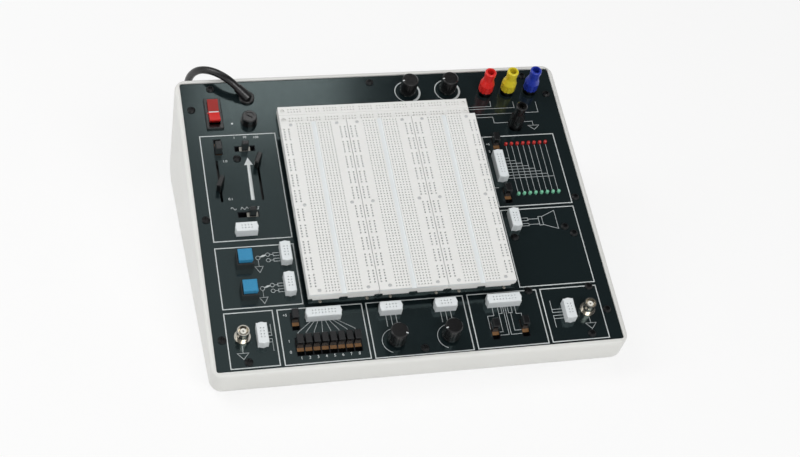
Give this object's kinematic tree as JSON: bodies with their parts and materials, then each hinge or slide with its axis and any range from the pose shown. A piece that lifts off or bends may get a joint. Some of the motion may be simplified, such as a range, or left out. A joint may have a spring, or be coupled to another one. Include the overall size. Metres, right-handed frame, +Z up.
{
  "type": "digital logic trainer",
  "caption": "Bench case with a sloping black control panel: solderless terminal blocks, switches, knobs, binding posts, BNC sockets, lamps and a mains cord.",
  "frame": {"origin": "centre of the box of the object without its cord, on the plane of the feet", "axes": "+X to the right of a user at the front, +Y towards the rear, +Z up"},
  "size_m": [0.334, 0.3964, 0.1473],
  "materials": {
    "case_plastic": "satin moulded ABS",
    "foot_rubber": "matt",
    "panel_enamel": "gloss black",
    "black_screw": "black oxide",
    "block_plastic": "white nylon",
    "socket_plastic": "white nylon",
    "spacer_steel": "bright",
    "black_plastic": "gloss",
    "lever_plastic": "satin",
    "rocker_plastic": "gloss red",
    "fuse_glass": "clear",
    "switch_steel": "tin plated",
    "button_plastic": "gloss blue",
    "red_plastic": "gloss",
    "yellow_plastic": "gloss",
    "blue_plastic": "gloss",
    "nickel": "nickel plated",
    "red_lamp": "red epoxy",
    "green_lamp": "green epoxy",
    "board_laminate": "green laminate",
    "core_steel": "varnished laminations",
    "cord_vinyl": "satin vinyl"
  },
  "bodies": {
    "trainer": {"case_tub": "case_plastic", "front_panel": "panel_enamel", "panel_screws": "black_screw", "board_plate": "panel_enamel", "plate_spacers": "spacer_steel", "upper_bus_strips": "block_plastic", "short_sockets": "socket_plastic", "long_sockets": "socket_plastic", "rocker_frame": "black_plastic", "fuse_holder": "black_plastic", "cartridge_fuse": "fuse_glass", "strain_relief": "black_plastic", "rotary_pots": "switch_steel", "slide_pots": "switch_steel", "switch_frames": "switch_steel", "button_housings": "black_plastic", "post_bases": "nickel", "bnc_sockets": "nickel", "red_lamps": "red_lamp", "green_lamps": "green_lamp", "circuit_board": "board_laminate", "speaker": "black_screw", "left_terminal_block": "block_plastic", "middle_terminal_block": "block_plastic", "right_terminal_block": "block_plastic", "case_feet": "foot_rubber", "mains_transformer": "core_steel", "power_cord": "cord_vinyl", "cord_coil": "cord_vinyl", "power_plug": "cord_vinyl"},
    "power_rocker": {"power_rocker": "rocker_plastic"},
    "first_supply_knob": {"first_supply_knob": "lever_plastic"},
    "second_supply_knob": {"second_supply_knob": "lever_plastic"},
    "left_pot_knob": {"left_pot_knob": "lever_plastic"},
    "right_pot_knob": {"right_pot_knob": "lever_plastic"},
    "frequency_lever": {"frequency_lever": "lever_plastic"},
    "amplitude_lever": {"amplitude_lever": "lever_plastic"},
    "hz_khz_lever": {"hz_khz_lever": "lever_plastic"},
    "five_volt_lever": {"five_volt_lever": "lever_plastic"},
    "upper_indicator_lever": {"upper_indicator_lever": "lever_plastic"},
    "lower_indicator_lever": {"lower_indicator_lever": "lever_plastic"},
    "left_spdt_lever": {"left_spdt_lever": "lever_plastic"},
    "right_spdt_lever": {"right_spdt_lever": "lever_plastic"},
    "logic_lever_1": {"logic_lever_1": "lever_plastic"},
    "logic_lever_2": {"logic_lever_2": "lever_plastic"},
    "logic_lever_3": {"logic_lever_3": "lever_plastic"},
    "logic_lever_4": {"logic_lever_4": "lever_plastic"},
    "logic_lever_5": {"logic_lever_5": "lever_plastic"},
    "logic_lever_6": {"logic_lever_6": "lever_plastic"},
    "logic_lever_7": {"logic_lever_7": "lever_plastic"},
    "logic_lever_8": {"logic_lever_8": "lever_plastic"},
    "range_lever": {"range_lever": "lever_plastic"},
    "waveform_lever": {"waveform_lever": "lever_plastic"},
    "upper_button_cap": {"upper_button_cap": "button_plastic"},
    "lower_button_cap": {"lower_button_cap": "button_plastic"},
    "fuse_cap": {"fuse_cap": "black_plastic"},
    "red_post_cap": {"red_post_cap": "red_plastic"},
    "yellow_post_cap": {"yellow_post_cap": "yellow_plastic"},
    "blue_post_cap": {"blue_post_cap": "blue_plastic"},
    "black_post_cap": {"black_post_cap": "black_plastic"}
  },
  "joints": [
    {"name": "rocker_tilt", "type": "hinge", "parent": "trainer", "child": "power_rocker", "pos_m": [-0.1376, 0.0766, 0.11687], "axis": [1, 0, 0], "range_deg": [0, 12]},
    {"name": "first_supply_turn", "type": "hinge", "parent": "trainer", "child": "first_supply_knob", "pos_m": [0.0315, 0.0894, 0.12371], "axis": [0, -0.3584, 0.9336], "range_deg": [-150, 150]},
    {"name": "second_supply_turn", "type": "hinge", "parent": "trainer", "child": "second_supply_knob", "pos_m": [0.067, 0.08922, 0.12364], "axis": [0, -0.3584, 0.9336], "range_deg": [-150, 150]},
    {"name": "left_pot_turn", "type": "hinge", "parent": "trainer", "child": "left_pot_knob", "pos_m": [-0.0215, -0.13438, 0.03781], "axis": [0, -0.3584, 0.9336], "range_deg": [-150, 150]},
    {"name": "right_pot_turn", "type": "hinge", "parent": "trainer", "child": "right_pot_knob", "pos_m": [0.022, -0.13419, 0.03788], "axis": [0, -0.3584, 0.9336], "range_deg": [-150, 150]},
    {"name": "frequency_slide", "type": "slide", "parent": "trainer", "child": "frequency_lever", "axis": [0, 0.9336, 0.3584], "range_m": [-0.0125, 0.0235]},
    {"name": "amplitude_slide", "type": "slide", "parent": "trainer", "child": "amplitude_lever", "axis": [0, 0.9336, 0.3584], "range_m": [-0.0335, 0.0025]},
    {"name": "hz_khz_select", "type": "slide", "parent": "trainer", "child": "hz_khz_lever", "axis": [0, 0.9336, 0.3584], "range_m": [0, 0.0036]},
    {"name": "five_volt_select", "type": "slide", "parent": "trainer", "child": "five_volt_lever", "axis": [0, 0.9336, 0.3584], "range_m": [-0.0036, 0]},
    {"name": "upper_indicator_select", "type": "slide", "parent": "trainer", "child": "upper_indicator_lever", "axis": [0, 0.9336, 0.3584], "range_m": [-0.0036, 0]},
    {"name": "lower_indicator_select", "type": "slide", "parent": "trainer", "child": "lower_indicator_lever", "axis": [0, 0.9336, 0.3584], "range_m": [-0.0036, 0]},
    {"name": "left_spdt_select", "type": "slide", "parent": "trainer", "child": "left_spdt_lever", "axis": [0, 0.9336, 0.3584], "range_m": [-0.0036, 0]},
    {"name": "right_spdt_select", "type": "slide", "parent": "trainer", "child": "right_spdt_lever", "axis": [0, 0.9336, 0.3584], "range_m": [-0.0036, 0]},
    {"name": "logic_select_1", "type": "slide", "parent": "trainer", "child": "logic_lever_1", "axis": [0, 0.9336, 0.3584], "range_m": [-0.0036, 0]},
    {"name": "logic_select_2", "type": "slide", "parent": "trainer", "child": "logic_lever_2", "axis": [0, 0.9336, 0.3584], "range_m": [-0.0036, 0]},
    {"name": "logic_select_3", "type": "slide", "parent": "trainer", "child": "logic_lever_3", "axis": [0, 0.9336, 0.3584], "range_m": [-0.0036, 0]},
    {"name": "logic_select_4", "type": "slide", "parent": "trainer", "child": "logic_lever_4", "axis": [0, 0.9336, 0.3584], "range_m": [-0.0036, 0]},
    {"name": "logic_select_5", "type": "slide", "parent": "trainer", "child": "logic_lever_5", "axis": [0, 0.9336, 0.3584], "range_m": [-0.0036, 0]},
    {"name": "logic_select_6", "type": "slide", "parent": "trainer", "child": "logic_lever_6", "axis": [0, 0.9336, 0.3584], "range_m": [-0.0036, 0]},
    {"name": "logic_select_7", "type": "slide", "parent": "trainer", "child": "logic_lever_7", "axis": [0, 0.9336, 0.3584], "range_m": [-0.0036, 0]},
    {"name": "logic_select_8", "type": "slide", "parent": "trainer", "child": "logic_lever_8", "axis": [0, 0.9336, 0.3584], "range_m": [-0.0036, 0]},
    {"name": "range_select", "type": "slide", "parent": "trainer", "child": "range_lever", "axis": [1, 0, 0], "range_m": [-0.0033, 0.0033]},
    {"name": "waveform_select", "type": "slide", "parent": "trainer", "child": "waveform_lever", "axis": [1, 0, 0], "range_m": [-0.0066, 0]},
    {"name": "upper_button_press", "type": "slide", "parent": "trainer", "child": "upper_button_cap", "axis": [0, -0.3584, 0.9336], "range_m": [-0.0022, 0], "stiffness_N_per_m": 500, "springref_m": 0.0006},
    {"name": "lower_button_press", "type": "slide", "parent": "trainer", "child": "lower_button_cap", "axis": [0, -0.3584, 0.9336], "range_m": [-0.0022, 0], "stiffness_N_per_m": 500, "springref_m": 0.0006},
    {"name": "fuse_cap_turn", "type": "hinge", "parent": "trainer", "child": "fuse_cap", "pos_m": [-0.109, 0.06803, 0.11465], "axis": [0, -0.3584, 0.9336], "range_deg": [0, 90]},
    {"name": "red_post_screw", "type": "hinge", "parent": "trainer", "child": "red_post_cap", "pos_m": [0.1003, 0.08533, 0.12343], "axis": [0, -0.3584, 0.9336], "range_deg": [0, 720]},
    {"name": "yellow_post_screw", "type": "hinge", "parent": "trainer", "child": "yellow_post_cap", "pos_m": [0.1204, 0.08533, 0.12343], "axis": [0, -0.3584, 0.9336], "range_deg": [0, 720]},
    {"name": "blue_post_screw", "type": "hinge", "parent": "trainer", "child": "blue_post_cap", "pos_m": [0.1412, 0.08533, 0.12343], "axis": [0, -0.3584, 0.9336], "range_deg": [0, 720]},
    {"name": "black_post_screw", "type": "hinge", "parent": "trainer", "child": "black_post_cap", "pos_m": [0.1197, 0.05051, 0.11007], "axis": [0, -0.3584, 0.9336], "range_deg": [0, 720]}
  ]
}
